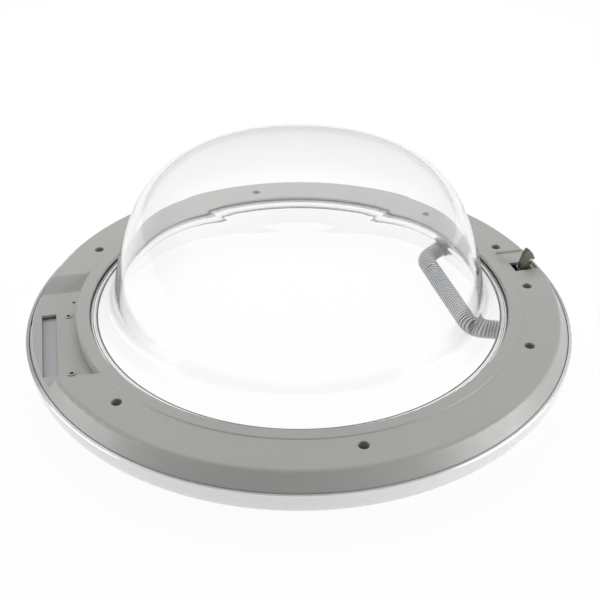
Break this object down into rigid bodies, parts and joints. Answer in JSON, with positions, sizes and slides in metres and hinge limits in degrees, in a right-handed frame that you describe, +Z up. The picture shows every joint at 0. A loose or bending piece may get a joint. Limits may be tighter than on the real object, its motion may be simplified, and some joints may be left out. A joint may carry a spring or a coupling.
{
  "type": "washing machine door",
  "caption": "Round front-loader washing machine door lying on its front: white bezel, grey inner ring with hinge recess and sprung latch hook, clear glass bowl and ribbed inner handle",
  "frame": {"origin": "on the door's axis, on the surface that the front of the door lies on", "axes": "+Z up along the door's axis from the front towards the bowl, +X towards the latch hook, -X towards the hinge recess"},
  "size_m": [0.491, 0.491, 0.1715],
  "materials": {
    "white_plastic": "smooth white moulding",
    "grey_plastic": "fine satin grain",
    "clear_glass": "clear pressed glass",
    "handle_plastic": "satin, finely ribbed",
    "zinc_steel": "zinc plated",
    "plate_steel": "plated sheet",
    "cast_metal": "cast, olive passivated",
    "pin_steel": "bright drawn",
    "spring_steel": "drawn wire",
    "black_plastic": "matt black moulding"
  },
  "bodies": {
    "door": {"front_bezel": "white_plastic", "inner_frame": "grey_plastic", "glass_bowl": "clear_glass", "door_handle": "handle_plastic", "handle_screws": "zinc_steel", "frame_screws": "zinc_steel", "hinge_plate": "plate_steel", "hook_pin": "pin_steel", "hook_spring": "spring_steel", "hook_holder": "black_plastic", "holder_screws": "zinc_steel"},
    "hook": {"latch_hook": "cast_metal"}
  },
  "joints": [
    {"name": "hook_swing", "type": "hinge", "parent": "door", "child": "hook", "pos_m": [0.2195, 0, 0.0316], "axis": [0, -1, 0], "range_deg": [0, 20], "stiffness_Nm_per_rad": 0.12, "springref_deg": -20.05, "deforming": ["hook_spring"]}
  ]
}
